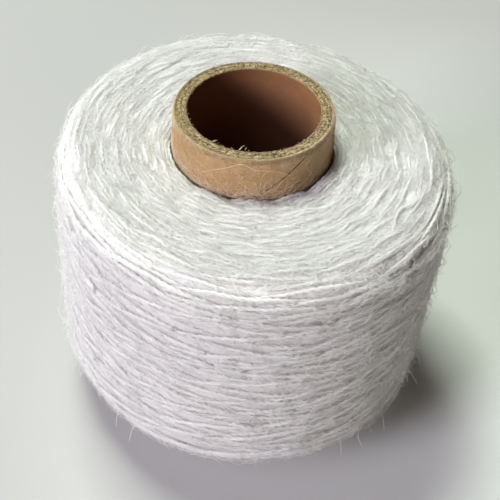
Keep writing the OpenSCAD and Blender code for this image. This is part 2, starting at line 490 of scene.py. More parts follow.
# How handling has pushed the package out of true, in millimetres at its outer turns
OVAL = (-0.47, -0.78)
OFF_CENTRE = (0.09, -0.02)
LEAN = (1.57, 1.35)
FACE_TILT = (-0.43, 0.19)
# Space that has opened between the tube and the thread at both faces
TUBE_CLEARANCE = 0.4


class Package:
    """The wound thread, settled into the leaning, slightly oval shape of a handled spool."""

    def __init__(self, settings):
        self.radius, self.low, self.high = (
            settings.package_radius / MM, settings.low / MM, settings.high / MM)
        self.tube_radius = TUBE_R / MM
        sizes = (settings.diameter / MM, self.radius, self.low, self.high, settings.shoulder / MM,
                 settings.turns_per_stroke, self.tube_radius)
        w = self.wound = winding(*(round(size, 4) for size in sizes))
        width = w.half_thick * STRAND_SPREAD
        upper, lower = face_heights(w, 1, self.radius), face_heights(w, -1, self.radius)
        self.seen = (outermost(w.surface, w.z - w.floor_z, w.r, w.half_width, w.half_thick)
                     | outermost(upper, w.r, w.z, width, w.half_width)
                     | outermost(lower, w.r, -w.z, width, w.half_width))
        self.side = blurred_rows(w.surface, 2.0)
        self.faces = {1: blurred_rows(filled_rows(upper), 2.0),
                      -1: blurred_rows(filled_rows(lower), 2.0)}
        self.even_side = blurred_all_round(self.side, 7.0)
        self.even_faces = {sign: blurred_all_round(field, 7.0)
                           for sign, field in self.faces.items()}

    def settled(self, r, angle, z):
        """Place, in metres, of a point given by its radius, angle and height when wound evenly."""
        loose = np.clip((r - self.tube_radius) / (self.radius - self.tube_radius), 0, 1.1)
        lean = (z - (self.low + self.high) / 2) / (self.high - self.low)
        near_face = np.clip((np.abs(lean) - 0.44) / 0.05, 0, 1)
        r = r + TUBE_CLEARANCE * near_face * np.exp(-((r - self.tube_radius) / 1.6) ** 2)
        r = r + loose * (OVAL[0] * np.cos(2 * angle) + OVAL[1] * np.sin(2 * angle))
        x = r * np.cos(angle) + loose * (OFF_CENTRE[0] + LEAN[0] * lean)
        y = r * np.sin(angle) + loose * (OFF_CENTRE[1] + LEAN[1] * lean)
        z = z + loose * (0.5 + lean) * (FACE_TILT[0] * x + FACE_TILT[1] * y) / self.radius
        return np.stack([x, y, z], -1) * MM

    def side_radius(self, angle, z, even=False):
        return looked_up(self.even_side if even else self.side, angle,
                         (z - self.wound.floor_z) / ROW)

    def face_height(self, angle, r, sign, even=False):
        fields = self.even_faces if even else self.faces
        return sign * looked_up(fields[sign], angle, r / ROW)


def yarn_strand(package, settings, first, last, spacing, sides, rng):
    """The thread between two samples, with twisted plies, thick and thin places and sunken ends."""
    w = package.wound
    index = np.arange(first, last)
    angle = index / ANGLES * TAU
    firm = settings.diameter * settings.firm_share
    r, z = w.r.ravel()[index], w.z.ravel()[index]
    above = (np.clip((z - package.high + 3.8) / 3, 0, 1)
             - np.clip((package.low + 3.8 - z) / 3, 0, 1))
    z = z + above * (w.half_width - 0.5 * firm / MM)
    outer = np.clip((r - package.radius + 4) / 3, 0, 1)
    r = r + outer * (w.half_thick - FLATTENED * firm / MM)
    points = package.settled(r, angle, z)
    length = np.concatenate([[0], np.cumsum(np.linalg.norm(np.diff(points, axis=0), axis=1))])
    n = max(8, int(length[-1] / spacing))
    s = np.linspace(0, length[-1], n)
    points = np.stack([np.interp(s, length, points[:, k]) for k in range(3)], -1)
    angle = np.interp(s, length, angle)
    along = unit(np.gradient(points, axis=0))
    radial = outward(angle)
    out = unit(radial - (radial * along).sum(1, keepdims=True) * along)
    side = np.cross(along, out)
    cell = spacing / MM
    swell = 1 + 0.07 * spread(smoothed(rng.normal(size=n), 5.0 / cell))
    swell += 0.045 * spread(smoothed(rng.normal(size=n), 0.9 / cell))
    soft = np.clip(np.minimum(np.arange(n), np.arange(n)[::-1]) / 4, 0, 1)
    points = points - out * (0.35 * MM * (1 - soft))[:, None]
    swell *= 0.55 + 0.45 * soft
    twists = s / settings.twist + rng.uniform(0, 1)
    twists += 0.08 * spread(smoothed(rng.normal(size=n), 4.0 / cell))
    a = np.arange(sides) / sides * TAU + math.pi
    plies = 1 + PLY_RELIEF * np.cos(settings.plies * (a[None, :] - TAU * twists[:, None]))
    body = (plies + rng.normal(size=(n, sides)) * 0.03) * swell[:, None]
    section = np.stack([body * np.cos(a) * firm * FLATTENED, body * np.sin(a) * firm * 0.5], -1)
    return SimpleNamespace(points=points[None], out=out[None], side=side[None],
                           section=section[None], twists=twists[None], girth=settings.diameter * 3)


def kept_runs(package):
    """Runs of the thread that show somewhere, as (first sample, last sample, where it lies)."""
    w = package.wound
    grown = np.convolve(package.seen.ravel().astype(float), np.ones(11), mode="same") > 0
    change = np.flatnonzero(np.diff(np.concatenate([[0], grown.astype(int), [0]])))
    z, r = w.z.ravel(), w.r.ravel()
    middle = (package.low + package.high) / 2
    for first, last in zip(change[::2], change[1::2]):
        if last - first >= 8:
            inner = r[first:last].mean() < package.radius - 4
            where = "side" if not inner else "upper" if z[first:last].mean() > middle else "lower"
            yield int(first), int(last), where


def picked(bundle, *index):
    """A bundle with only some of its strands, or only some points of each."""
    arrays = {name: getattr(bundle, name)[index]
              for name in ("points", "out", "side", "section", "twists")}
    return SimpleNamespace(**arrays, girth=bundle.girth)


def dealt(strands, most):
    """Strands in their order of winding, dealt into groups of at most so many rings."""
    groups, count = [[]], 0
    for strand in strands:
        begun, rings = 0, strand.points.shape[1]
        while begun < rings - 1:
            if most - count < 8:
                groups.append([])
                count = 0
            ended = min(rings, begun + most - count)
            groups[-1].append(picked(strand, slice(None), slice(begun, ended)))
            count += ended - begun
            begun = ended - 1
    return groups


# Fibres

CREST_RINGS = 56
CREST_STRIDE = 46


def fibres(points, out, radius, sides=3, flat=1.0):
    """A bundle of thin strands, which narrow towards both ends."""
    count, n = points.shape[:2]
    along = unit(np.gradient(points, axis=1))
    out = unit(out - (out * along).sum(2, keepdims=True) * along)
    narrowing = 0.35 + 0.65 * np.sin(np.linspace(0.12, 0.9, n) * math.pi) ** 0.6
    a = np.arange(sides) / sides * TAU + math.pi
    ring = np.stack([np.cos(a) * flat, np.sin(a)], -1)
    radius = np.broadcast_to(radius, count)
    section = radius[:, None, None, None] * narrowing[None, :, None, None] * ring
    twists = np.arange(count)[:, None] * 0.37 + np.linspace(0, 1, n)
    return SimpleNamespace(points=points, out=out, side=np.cross(along, out), section=section,
                           twists=twists, girth=float(radius.mean()) * 6)


def halved(bundle):
    """The strands of a bundle, shared out between two."""
    return [picked(bundle, slice(first, None, 2)) for first in (0, 1)]


def lifted(rng, count, n, standing, height, arch=0.7):
    """Heights of loose fibres over the thread, in millimetres. A share of them stand out."""
    u = np.linspace(0, 1, n)
    lift = -0.1 + rng.uniform(0.15, arch, (count, 1)) * np.sin(
        u * math.pi * rng.uniform(0.7, 1.0, (count, 1)))
    raised = (rng.random((count, 1)) < standing) * rng.uniform(0.25, 1, (count, 1)) * height
    return lift + raised * u ** rng.uniform(1.2, 2.2, (count, 1))


def crawl(rng, count, n, length, across):
    """Wandering flat paths: offsets along and across the thread from each fibre's root.
    The given share of them set out in any direction, and the others lie nearly along the thread."""
    heading = np.where(rng.random((count, 1)) < across, rng.uniform(0, TAU, (count, 1)),
                       rng.normal(0, 0.45, (count, 1)) + math.pi * rng.integers(0, 2, (count, 1)))
    turn = (heading + np.cumsum(rng.normal(0, 0.28, (count, n)), axis=1)
            + np.linspace(0, 1, n) * rng.normal(0, 0.9, (count, 1)))
    step = (rng.gamma(3.0, length / 3, (count, 1)) + 0.3 * length) / (n - 1)
    return np.cumsum(np.cos(turn), axis=1) * step, np.cumsum(np.sin(turn), axis=1) * step


def side_fibres(package, rng, count, radius, n, length, across, standing, height, arch=0.7):
    """Loose fibres all over the package's side."""
    angle = rng.uniform(0, TAU, (count, 1))
    z = rng.uniform(package.low + 1.2, package.high - 0.8, (count, 1))
    dx, dz = crawl(rng, count, n, length, across)
    a = angle + dx / package.radius
    z = np.clip(z + dz, package.low + 0.6, package.high - 0.5)
    r = package.side_radius(a, z) + lifted(rng, count, n, standing, height, arch)
    return fibres(package.settled(r, a, z), outward(a), radius * rng.uniform(0.7, 1.4, count))


def crest_fibres(strands, rng, share, radius, rise):
    """Fibres that lie along the crests of strands, each over a short length of one strand."""
    chosen = [(strand, first) for strand in strands
              for first in range(int(rng.integers(0, 8)), strand.points.shape[1] - CREST_RINGS,
                                 CREST_STRIDE) if rng.random() < share]
    points, out, side = (np.array([getattr(strand, part)[0, first:first + CREST_RINGS:2]
                                   for strand, first in chosen])
                         for part in ("points", "out", "side"))
    count, n = points.shape[:2]
    u = np.linspace(0, 1, n)
    drift = (rng.normal(0, 0.08, (count, 1)) + rng.normal(0, 0.12, (count, 1))
             * np.sin(u * math.pi * rng.uniform(0.7, 3.5, (count, 1))))
    lift = (rng.uniform(0.06, 0.2, (count, 1)) * (0.6 + 0.4 * np.sin(u * math.pi))
            - 0.4 * np.abs(2 * u - 1) ** 8)
    moved = points + out * (rise + lift * MM)[..., None] + side * (drift * MM)[..., None]
    return fibres(moved, out, radius * rng.uniform(0.6, 1.3, count), sides=4)


def stray_fibres(package, rng, places, n, radius):
    """Long fibres that stand off the side from given places, and hang outwards and down."""
    angle, z, length = np.array(places).T[:, :, None]
    u = np.linspace(0, 1, n)
    reach = length * u * (1 - 0.25 * u) * rng.uniform(0.8, 1.1, (len(places), 1))
    drop = length * u ** 1.5 * rng.uniform(0.5, 0.9, (len(places), 1))
    sway = length * rng.normal(0, 0.35, (len(places), 1)) * u ** 1.3
    a = np.radians(angle) + sway / package.radius
    r = package.side_radius(a, np.broadcast_to(z, a.shape)) - 0.1 + reach
    return fibres(package.settled(r, a, z - drop), outward(a), radius)


def face_fibres(package, rng, count, radius, n, length, across, standing, height, sign):
    """Loose fibres all over the package's upper face, or with a sign of -1 its lower face."""
    inner, outer = package.tube_radius + 0.6, package.radius - 2.5
    r = np.sqrt(rng.uniform(inner ** 2, outer ** 2, (count, 1)))
    angle = rng.uniform(0, TAU, (count, 1))
    dx, dr = crawl(rng, count, n, length, across)
    a = angle + dx / r
    r = np.clip(r + dr, inner, outer)
    z = package.face_height(a, r, sign) + sign * lifted(rng, count, n, standing, height)
    out = np.broadcast_to([0.0, 0.0, float(sign)], (count, n, 3))
    return fibres(package.settled(r, a, z), out, radius * rng.uniform(0.7, 1.4, count))


# Shader nodes

def put(socket, value):
    """Links a node's output to a socket, or sets the socket's value."""
    if isinstance(value, bpy.types.NodeSocket):
        socket.id_data.links.new(value, socket)
    else:
        if socket.type == "RGBA" and len(value) == 3:
            value = (*value, 1.0)
        socket.default_value = value


def add(tree, kind, inputs=None, **settings):
    node = tree.nodes.new(kind)
    for name, value in settings.items():
        setattr(node, name, value)
    for key, value in (inputs or {}).items():
        put(node.inputs[key], value)
    return node


def maths(tree, operation, a, b=0.0):
    return add(tree, "ShaderNodeMath", {0: a, 1: b}, operation=operation).outputs[0]


def tinted(tree, factor, a, b):
    """Colour a, turned towards colour b by a factor."""
    return add(tree, "ShaderNodeMix", {0: factor, 6: a, 7: b}, data_type="RGBA").outputs[2]


def ranged(tree, value, low, high, to_low=0.0, to_high=1.0):
    return add(tree, "ShaderNodeMapRange", {0: value, 1: low, 2: high, 3: to_low, 4: to_high},
               clamp=True).outputs[0]


def noise(tree, vector, scale, detail=3.0, roughness=0.55):
    return add(tree, "ShaderNodeTexNoise", {"Vector": vector, "Scale": scale, "Detail": detail,
                                            "Roughness": roughness}).outputs[0]


def stretched(tree, vector, scale, rotation):
    return add(tree, "ShaderNodeMapping", {"Vector": vector, "Scale": scale, "Rotation": rotation},
               vector_type="TEXTURE").outputs[0]


def node_group(name, inputs, outputs):
    """An empty shader node group with named inputs and outputs."""
    tree = bpy.data.node_groups.new(name, "ShaderNodeTree")
    for label, kind, default in inputs:
        socket = tree.interface.new_socket(name=label, in_out="INPUT", socket_type=kind)
        if default is not None:
            socket.default_value = default
    for label in outputs:
        tree.interface.new_socket(name=label, in_out="OUTPUT", socket_type="NodeSocketFloat")
    return tree, add(tree, "NodeGroupInput").outputs, add(tree, "NodeGroupOutput").inputs


@functools.cache
def paper_fibre():
    """Pressed fibres and cloudy patches of paper, in three directions."""
    tree, given, made = node_group(
        "Paper Fibre",
        [("Vector", "NodeSocketVector", None), ("Fibre Scale", "NodeSocketFloat", 900.0),
         ("Cloud Scale", "NodeSocketFloat", 180.0)],
        ["Fibres", "Clouds", "Height"])
    layers = [noise(tree, stretched(tree, given["Vector"], (1.0, 1.0, 3.2), turn),
                    given["Fibre Scale"], 4.0, 0.6)
              for turn in ((1.4, 0.2, 0.1), (0.3, 1.35, 0.4), (0.8, 0.8, 1.2))]
    strongest = maths(tree, "MAXIMUM", layers[0], maths(tree, "MAXIMUM", layers[1], layers[2]))
    fibres = ranged(tree, strongest, 0.45, 0.72)
    clouds = noise(tree, given["Vector"], given["Cloud Scale"], 3.0)
    put(made["Fibres"], fibres)
    put(made["Clouds"], clouds)
    put(made["Height"], maths(tree, "ADD", fibres, maths(tree, "MULTIPLY", clouds, 0.5)))
    return tree


@functools.cache
def yarn_grain():
    """Plies and fibres that wind round a strand, from its own count of twists and its girth."""
    tree, given, made = node_group(
        "Yarn Grain",
        [("Yarn", "NodeSocketVector", None), ("Place", "NodeSocketVector", None),
         ("Plies", "NodeSocketFloat", 2.0), ("Slant", "NodeSocketFloat", 0.4),
         ("Fineness", "NodeSocketFloat", 22.0)],
        ["Streaks", "Tone", "Height", "Groove", "Flank"])
    twist, girth = add(tree, "ShaderNodeSeparateXYZ", {0: given["Yarn"]}).outputs[:2]
    across = maths(tree, "SUBTRACT", girth, maths(tree, "MULTIPLY", twist, given["Slant"]))
    lined = add(tree, "ShaderNodeCombineXYZ",
                {0: maths(tree, "MULTIPLY", across, given["Fineness"]),
                 1: maths(tree, "MULTIPLY", twist, 3.0)}).outputs[0]
    streaks = noise(tree, lined, 1.0, 3.0, 0.6)
    round_thread = maths(tree, "SUBTRACT", maths(tree, "ADD", girth, 0.5), twist)
    ply = maths(tree, "COSINE", maths(tree, "MULTIPLY", round_thread,
                                      maths(tree, "MULTIPLY", given["Plies"], TAU)))
    put(made["Streaks"], ranged(tree, streaks, 0.3, 0.7))
    put(made["Tone"], noise(tree, given["Place"], 420.0, 3.0))
    put(made["Height"], maths(tree, "ADD", streaks, maths(tree, "MULTIPLY", ply, 0.3)))
    put(made["Groove"], ranged(tree, ply, 0.1, -0.9))
    from_crest = maths(tree, "ABSOLUTE", maths(tree, "SUBTRACT", girth, 0.5))
    put(made["Flank"], ranged(tree, from_crest, 0.05, 0.24))
    return tree


@functools.cache
def tube_end():
    """Distance from the nearer end of the tube, in metres, and the same with a ragged outline."""
    tree, given, made = node_group(
        "Tube End",
        [("Vector", "NodeSocketVector", None), ("Length", "NodeSocketFloat", 0.07),
         ("Raggedness", "NodeSocketFloat", 0.0006)],
        ["Distance", "Ragged"])
    z = add(tree, "ShaderNodeSeparateXYZ", {0: given["Vector"]}).outputs[2]
    half = maths(tree, "MULTIPLY", given["Length"], 0.5)
    distance = maths(tree, "SUBTRACT", half,
                     maths(tree, "ABSOLUTE", maths(tree, "SUBTRACT", z, half)))
    bumps = maths(tree, "SUBTRACT", noise(tree, given["Vector"], 900.0, 4.0, 0.65), 0.5)
    put(made["Distance"], distance)
    put(made["Ragged"], maths(tree, "ADD", distance,
                              maths(tree, "MULTIPLY", bumps, given["Raggedness"])))
    return tree


def group(tree, made, inputs):
    return add(tree, "ShaderNodeGroup", inputs, node_tree=made).outputs


def blank_material(name):
    """A new material, its tree, its shader and the place on the object that is shaded."""
    material = bpy.data.materials.new(name)
    material.use_nodes = True
    tree = material.node_tree
    place = add(tree, "ShaderNodeTexCoord").outputs["Object"]
    return material, tree, tree.nodes["Principled BSDF"], place


def dressed(shader, finish):
    """Sets or links the shader's sockets by name."""
    for name, value in finish.items():
        put(shader.inputs[name], value)


def yarn_map(tree):
    return add(tree, "ShaderNodeUVMap", uv_map="Yarn").outputs[0]


def paper_grain(tree, place, fibre_scale, cloud_scale):
    return group(tree, paper_fibre(), {"Vector": place, "Fibre Scale": fibre_scale,
                                       "Cloud Scale": cloud_scale})


def from_end(tree, place, raggedness):
    return group(tree, tube_end(), {"Vector": place, "Length": TUBE_LENGTH,
                                    "Raggedness": raggedness})


def scaled(colour, *factors):
    """A colour times one factor, or times a factor for each channel."""
    return tuple(min(1.0, c * factor) for c, factor in zip(colour, factors * 3))


def bumped(tree, height, strength, distance):
    return add(tree, "ShaderNodeBump", {"Height": height, "Strength": strength,
                                        "Distance": distance}).outputs[0]


@functools.cache
def thread_finish(name, shaded, depth):
    """Matt, fuzzy white yarn: plies with painted shade in their grooves and on their flanks,
    winding fibres and cloudy whiteness. Shaded says how much painted shade its flanks get, and
    depth how far light spreads in it."""
    settings = bpy.context.scene.spool_thread
    colour = tuple(settings.colour)
    material, tree, shader, place = blank_material(name)
    grain = group(tree, yarn_grain(), {"Yarn": yarn_map(tree), "Place": place,
                                       "Plies": float(settings.plies)})
    streaked = tinted(tree, grain["Streaks"], scaled(colour, 0.94), scaled(colour, 1.06))
    clouded = tinted(tree, ranged(tree, grain["Tone"], 0.35, 0.7), streaked,
                     scaled(colour, 0.96))
    # Painted shade in the grooves between the plies.
    groove = maths(tree, "MULTIPLY", grain["Groove"], 0.3)
    grooved = tinted(tree, groove, clouded, scaled(colour, 0.84))
    # Painted shade on each strand's flanks, so that they come out darker than its crest.
    flank = maths(tree, "MULTIPLY", grain["Flank"], shaded)
    dressed(shader, {
        "Base Color": tinted(tree, flank, grooved, scaled(colour, 0.84, 0.83, 0.8)),
        "Roughness": ranged(tree, grain["Streaks"], 0.0, 1.0, 0.95, 0.75),
        "Normal": bumped(tree, grain["Height"], 0.5, 0.1 * MM)})
    softened(shader, depth)
    return material


def softened(shader, depth):
    """Light that passes through the outer fibres of the thread, and their soft sheen."""
    dressed(shader, {"Sheen Weight": 0.12, "Sheen Roughness": 0.5, "Specular IOR Level": 0.2,
                     "Subsurface Weight": 1.0, "Subsurface Radius": (1.0, 1.0, 1.0),
                     "Subsurface Scale": depth})


@functools.cache
def hair_finish(name="Loose Fibre", colour=None):
    """Single fibres: a little brighter and glossier than the yarn."""
    colour = colour or tuple(bpy.context.scene.spool_thread.colour)
    material, tree, shader, place = blank_material(name)
    grain = group(tree, yarn_grain(), {"Yarn": yarn_map(tree), "Place": place, "Slant": 0.1,
                                       "Fineness": 9.0})
    dressed(shader, {
        "Base Color": tinted(tree, grain["Tone"], scaled(colour, 0.98), scaled(colour, 1.08)),
        "Roughness": ranged(tree, grain["Streaks"], 0.0, 1.0, 0.6, 0.4),
        "Sheen Weight": 0.4, "Sheen Roughness": 0.35, "Sheen Tint": colour})
    return material


@functools.cache
def board_finish():
    """Cut recycled board: pale and dark flecks of torn fibre in olive-grey pulp."""
    settings = bpy.context.scene.spool_tube
    base, fleck = tuple(settings.board_colour), tuple(settings.fleck_colour)
    material, tree, shader, place = blank_material("Cut Board")
    pulp = paper_grain(tree, place, 2400.0, 500.0)
    crumbs = add(tree, "ShaderNodeTexVoronoi", {"Vector": place, "Scale": 3100.0,
                                                "Randomness": 1.0}).outputs["Color"]
    crumb = add(tree, "ShaderNodeSeparateColor", {0: crumbs}).outputs[0]
    mottled = tinted(tree, pulp["Fibres"], scaled(base, 0.66), scaled(base, 1.3))
    pale = tinted(tree, ranged(tree, crumb, 0.7, 0.95, 0.0, 0.8), mottled, fleck)
    dressed(shader, {
        "Base Color": tinted(tree, ranged(tree, crumb, 0.24, 0.08), pale, scaled(base, 0.32)),
        "Roughness": ranged(tree, pulp["Clouds"], 0.3, 0.7, 0.95, 0.85),
        "Normal": bumped(tree, pulp["Height"], 0.6, 0.1 * MM),
        "Specular IOR Level": 0.2})
    return material


@functools.cache
def kraft_finish():
    """Tan kraft paper: pressed fibres, a burnished lip, a pale cut edge, a dark open seam and
    painted shade where the paper goes under the thread.
    """
    settings = bpy.context.scene.spool_tube
    colour, fleck = tuple(settings.kraft_colour), tuple(settings.fleck_colour)
    material, tree, shader, place = blank_material("Kraft Paper")
    paper = paper_grain(tree, place, 1300.0, 260.0)
    pressed = tinted(tree, paper["Fibres"], scaled(colour, 0.74), scaled(colour, 1.34))
    clouded = tinted(tree, ranged(tree, paper["Clouds"], 0.35, 0.68), pressed,
                     scaled(colour, 0.86, 0.84, 0.78))
    specks = ranged(tree, noise(tree, place, 2100.0, 2.0), 0.66, 0.74, 0.0, 0.55)
    specked = tinted(tree, specks, clouded, scaled(colour, 0.4))
    from_seam = add(tree, "ShaderNodeSeparateXYZ",
                    {0: add(tree, "ShaderNodeUVMap", uv_map="Paper").outputs[0]}).outputs[0]
    shade = ranged(tree, from_seam, 0.0, 0.05, 0.0, 0.35)
    beside = tinted(tree, shade, specked, scaled(colour, 0.72))
    slit = ranged(tree, maths(tree, "ABSOLUTE", from_seam), 0.028, 0.012)
    seamed = tinted(tree, slit, beside, scaled(colour, 0.16))
    end = from_end(tree, place, 1.6 * MM)
    worn = tinted(tree, paper["Fibres"], scaled(colour, 0.5), scaled(colour, 0.92, 1.02, 0.96))
    lip = tinted(tree, ranged(tree, end["Ragged"], 1.5 * MM, 0.9 * MM), seamed, worn)
    rubbed = ranged(tree, end["Ragged"], 0.1 * MM, -0.35 * MM, 0.0, 0.6)
    edge = tinted(tree, rubbed, lip, fleck)
    # Painted shade: the paper turns dark brown from about 8 mm inside each end, where it goes under
    # the thread and lies in shadow.
    shade_under_thread = ranged(tree, end["Ragged"], 8.0 * MM, 8.5 * MM, 0.0, 0.75)
    dressed(shader, {
        "Base Color": tinted(tree, shade_under_thread, edge, scaled(colour, 0.2)),
        "Roughness": ranged(tree, paper["Fibres"], 0.0, 1.0, 0.78, 0.6),
        "Normal": bumped(tree, paper["Height"], 0.8, 0.12 * MM),
        "Specular IOR Level": 0.3,
        "Sheen Weight": 1.0, "Sheen Roughness": 0.5, "Sheen Tint": (1.0, 0.87, 0.7)})
    return material


@functools.cache
def liner_finish():
    """Red-brown paper in the bore, with faint streaks, painted shade that darkens it further into
    the bore and towards its left front, and a paler torn edge.
    """
    settings = bpy.context.scene.spool_tube
    colour, fleck = tuple(settings.liner_colour), tuple(settings.fleck_colour)
    material, tree, shader, place = blank_material("Bore Paper")
    paper = paper_grain(tree, place, 800.0, 160.0)
    pressed = tinted(tree, paper["Fibres"], scaled(colour, 0.93), scaled(colour, 1.08))
    clouded = tinted(tree, ranged(tree, paper["Clouds"], 0.3, 0.7), pressed, scaled(colour, 0.8))
    end = from_end(tree, place, 0.6 * MM)
    x, y = add(tree, "ShaderNodeSeparateXYZ", {0: place}).outputs[:2]
    # Painted shade: the paper darkens further into the bore from either end and towards its left
    # front, where the bore lies in shadow. It stays paler at its right back, as if lit.
    toward_right_back = maths(tree, "ADD", maths(tree, "MULTIPLY", x, 0.85), maths(tree, "MULTIPLY", y, 0.53))
    painted_shade_level = maths(tree, "SUBTRACT", end["Distance"], maths(tree, "MULTIPLY", toward_right_back, 0.85))
    deep = tinted(tree, ranged(tree, painted_shade_level, -9 * MM, 3 * MM), clouded,
                  scaled(colour, 0.46, 0.4, 0.5))
    dressed(shader, {
        "Base Color": tinted(tree, ranged(tree, end["Ragged"], 0.3 * MM, 0.0, 0.0, 0.7), deep,
                             scaled(fleck, 0.7)),
        "Roughness": ranged(tree, paper["Fibres"], 0.0, 1.0, 0.85, 0.7),
        "Normal": bumped(tree, paper["Height"], 0.3, 0.06 * MM),
        "Specular IOR Level": 0.25})
    return material


@functools.cache
def floor_finish():
    """Smooth table top with painted light that makes it paler on the right, beside and in front of
    the spool.
    """
    settings = bpy.context.scene.spool_stage
    material, tree, shader, place = blank_material("Table Top")
    x, y = add(tree, "ShaderNodeSeparateXYZ", {0: place}).outputs[:2]
    # Painted light: the floor turns paler towards the right of the spool and in front of it,
    # standing in for light that the lamps don't bring there.
    painted_floor_light = maths(tree, "MULTIPLY", ranged(tree, x, -0.05, 0.05), ranged(tree, y, 0.15, 0.04))
    clouds = ranged(tree, noise(tree, place, 4.0), 0.3, 0.7, 0.0, 0.04)
    surface = tinted(tree, painted_floor_light, tuple(settings.floor_colour), tuple(settings.painted_light_floor_colour))
    dressed(shader, {"Base Color": tinted(tree, clouds, surface, (1.0, 1.0, 1.0)),
                     "Roughness": 0.8, "Specular IOR Level": 0.15})
    return material


# Tube

COLUMNS = 640
TORN_CORNER = 0.07 * MM
LAP_LEAD = 70 * MM
LAP_ANGLE = 1.9
LAP_HEIGHT = 0.07 * MM
# The kraft paper's seam: half the width and the depth of the slit, and the lift of its free edge
SLIT_WIDTH = 0.1 * MM
SLIT_DEPTH = 0.13 * MM
EDGE_LIFT = 0.05 * MM
EDGE_LIFT_WIDTH = 1.2 * MM
# The kraft paper's rows lie close up to this distance from each end
STUB = 10.5 * MM
FACE_STOPS = np.array([0, 0.05, 0.13, 0.24, 0.37, 0.5, 0.63, 0.76, 0.87, 0.95, 1])


def worn_face(rng, r0, r1, columns):
    """Depths of a cut end, in metres, over the face's stops and the columns round the axis."""
    stops = len(FACE_STOPS)
    coarse = wrapped_noise(rng, (stops * 3, columns), (2.0, 5.0))[:stops]
    fine = wrapped_noise(rng, (stops * 3, columns), (0.7, 1.1))[:stops]
    rough = bpy.context.scene.spool_tube.rim_roughness
    depth = rough * (0.5 + 0.22 * coarse + 0.22 * fine)
    thickness = r1 - r0
    inner = np.exp(-(FACE_STOPS * thickness / TORN_CORNER) ** 2)
    outer = np.exp(-((1 - FACE_STOPS) * thickness / TORN_CORNER) ** 2)
    return np.clip(depth, 0, None) + rough * 0.35 * (inner + outer)[:, None]


def board_ring(name, r0, r1, roll, seed):
    """One board ply with torn cut ends. The outermost one is rolled in at its outer edge."""
    settings = bpy.context.scene.spool_tube
    rng = draws(seed)
    angle = np.arange(COLUMNS) / COLUMNS * TAU
    radii = r0 + FACE_STOPS * (r1 - roll - r0)
    rows = []
    for depth, r in zip(worn_face(rng, r0, r1, COLUMNS), radii):
        rows.append(around_axis(np.full(COLUMNS, r), angle, depth))
    bend = np.linspace(math.pi / 2, 0, 6)[1:]
    for a in bend:
        rows.append(around_axis(np.full(COLUMNS, r1 - roll * (1 - math.cos(a))), angle,
                                settings.rim_roll_height * (1 - math.sin(a))))
    for a in bend[::-1]:
        rows.append(around_axis(np.full(COLUMNS, r1 - roll * (1 - math.cos(a))), angle,
                                TUBE_LENGTH - settings.rim_roll_height * (1 - math.sin(a))))
    for depth, r in zip(worn_face(rng, r0, r1, COLUMNS)[::-1], radii[::-1]):
        rows.append(around_axis(np.full(COLUMNS, r), angle, TUBE_LENGTH - depth))
    return ring_solid(name, np.array(rows))


def torn(rng, depth, columns=COLUMNS):
    """A ragged edge: how far the paper is torn back round the axis."""
    long = np.clip(wrapped_noise(rng, (1, columns), (1, 9))[0], 0, None)
    short = np.abs(wrapped_noise(rng, (1, columns), (1, 1.2))[0])
    return depth * (0.2 + 0.2 * long ** 2 + 0.35 * short)


def liner_ring(name):
    """The paper in the bore, with torn ends and the faint ridge of its own overlap."""
    rng = draws(21)
    angle = np.arange(COLUMNS) / COLUMNS * TAU
    lower, upper = torn(rng, 0.2 * MM), TUBE_LENGTH - torn(rng, 0.2 * MM)
    shares = np.concatenate([np.linspace(0, 0.02, 4), np.linspace(0.05, 0.95, 34),
                             np.linspace(0.98, 1, 4)])
    waves = wrapped_noise(rng, (len(shares), COLUMNS), (3, 14)) * 0.02 * MM
    inside = []
    for share, wave in zip(shares, waves):
        z = lower + (upper - lower) * share
        from_lap = (angle - z / LAP_LEAD * TAU + LAP_ANGLE) % TAU
        lap = LAP_HEIGHT * np.exp(-from_lap / 0.5)
        r = BORE_R + 0.03 * MM - wave.clip(-1, 0.03 * MM) * 0.5 + lap
        inside.append(around_axis(r, angle, z))
    outside = [around_axis(np.full(COLUMNS, LINER_R), angle, z) for z in (lower, upper)]
    return ring_solid(name, np.array(outside + inside[::-1]))


